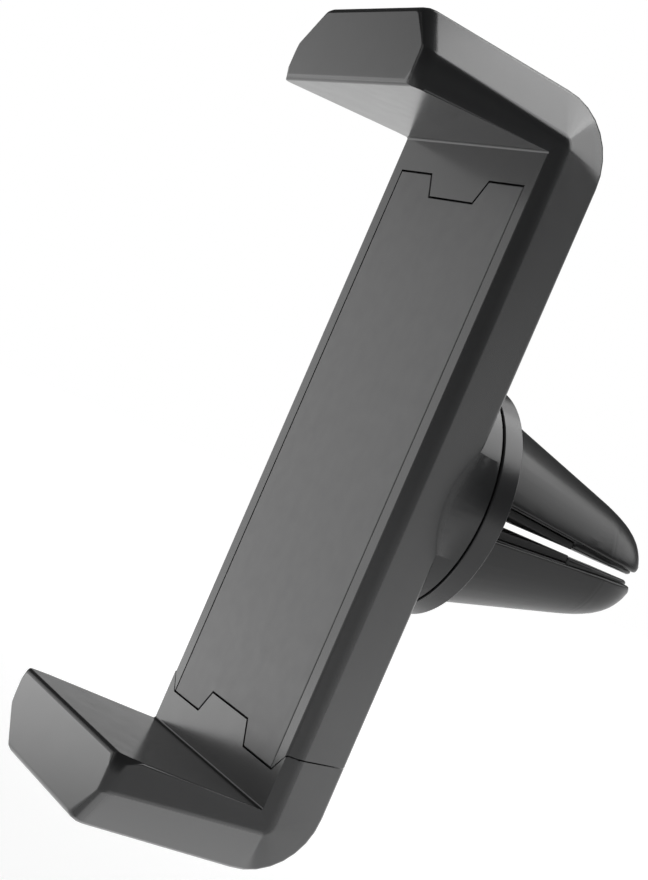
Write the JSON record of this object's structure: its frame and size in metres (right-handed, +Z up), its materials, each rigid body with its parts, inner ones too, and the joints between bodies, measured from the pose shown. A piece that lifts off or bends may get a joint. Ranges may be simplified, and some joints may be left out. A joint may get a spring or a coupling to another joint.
{
  "type": "air vent phone holder",
  "caption": "Sprung jaw clamp that grips a phone by its edges, on a full-turn swivel with a split clip that pushes over an air vent blade.",
  "frame": {"origin": "middle of the flat face that the back of the phone rests on, with the jaws closed", "axes": "+Z up along the clamp towards the fixed jaw, -Y out towards the phone, +Y towards the air vent, X across the width"},
  "size_m": [0.026, 0.0453, 0.0708],
  "materials": {
    "shell": "satin charcoal moulded ABS",
    "plate": "smooth satin charcoal plastic",
    "prong": "smooth soft-touch plastic",
    "disc": "satin charcoal plastic",
    "liner": "matt black rubber",
    "acetal": "waxy natural acetal",
    "steel": "bright zinc plated",
    "spring_steel": "drawn spring wire",
    "brass": "turned brass",
    "friction": "black fibre washer"
  },
  "bodies": {
    "clip": {"clip_prongs": "prong", "upper_liner": "liner", "lower_liner": "liner", "clip_disc": "disc", "disc_screws": "steel", "threaded_insert": "brass", "pivot_screw": "steel", "wave_washer": "spring_steel", "pivot_washer": "steel"},
    "holder": {"main_shell": "shell", "face_plate": "plate", "swivel_bush": "acetal", "friction_washer": "friction", "anchor_pins": "steel", "stop_pin": "steel", "spring_left": "spring_steel", "spring_right": "spring_steel"},
    "jaw": {"lower_jaw": "shell", "slide_tongue": "acetal", "hook_pins": "steel"}
  },
  "joints": [
    {"name": "swivel", "type": "hinge", "parent": "clip", "child": "holder", "pos_m": [0, 0.00955, 0], "axis": [0, 1, 0], "continuous": true},
    {"name": "jaw_slide", "type": "slide", "parent": "holder", "child": "jaw", "axis": [0, 0, -1], "range_m": [0, 0.028], "stiffness_N_per_m": 280, "springref_m": -0.014, "deforming": ["spring_left", "spring_right"]}
  ]
}
